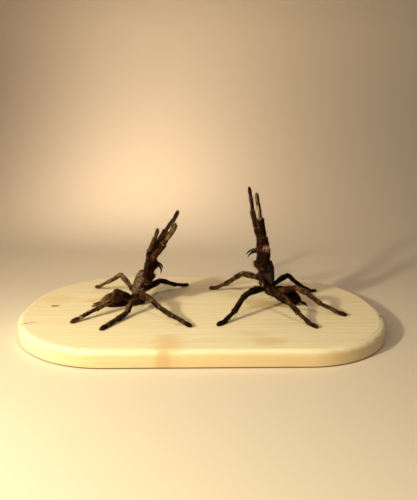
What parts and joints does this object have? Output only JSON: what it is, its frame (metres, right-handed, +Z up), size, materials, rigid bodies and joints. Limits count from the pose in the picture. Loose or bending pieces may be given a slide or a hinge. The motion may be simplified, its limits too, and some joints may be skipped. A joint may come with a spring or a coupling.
{
  "type": "mounted tarantula specimens",
  "caption": "Dried tarantulas rearing face to face in their threat pose on a flat oval pine board with a rounded upper edge, a display piece that stands on a shelf.",
  "frame": {"origin": "middle of the board's underside", "axes": "+X along the board from the left tarantula to the right one, +Y away from the side that the pair is seen from, +Z up"},
  "size_m": [0.35, 0.205, 0.1324],
  "materials": {
    "pine": "planed and sanded pale pine, unvarnished",
    "back_chitin": "dry chitin under short velvety hair",
    "abdomen_skin": "shrunken, matt and velvety",
    "fang_chitin": "glossy black",
    "leg_chitin": "dry brown-black chitin with coarse hair"
  },
  "bodies": {
    "root": {"board": "pine", "left_cephalothorax": "back_chitin", "left_abdomen": "abdomen_skin", "left_chelicera_near": "fang_chitin", "left_chelicera_far": "fang_chitin", "left_leg_1_near": "leg_chitin", "left_leg_1_far": "leg_chitin", "left_leg_2_near": "leg_chitin", "left_leg_2_far": "leg_chitin", "left_leg_3_near": "leg_chitin", "left_leg_3_far": "leg_chitin", "left_leg_4_near": "leg_chitin", "left_leg_4_far": "leg_chitin", "left_pedipalp_near": "leg_chitin", "left_pedipalp_far": "leg_chitin", "right_cephalothorax": "back_chitin", "right_abdomen": "abdomen_skin", "right_chelicera_near": "fang_chitin", "right_chelicera_far": "fang_chitin", "right_leg_1_near": "leg_chitin", "right_leg_1_far": "leg_chitin", "right_leg_2_near": "leg_chitin", "right_leg_2_far": "leg_chitin", "right_leg_3_near": "leg_chitin", "right_leg_3_far": "leg_chitin", "right_leg_4_near": "leg_chitin", "right_leg_4_far": "leg_chitin", "right_pedipalp_near": "leg_chitin", "right_pedipalp_far": "leg_chitin"}
  },
  "joints": []
}
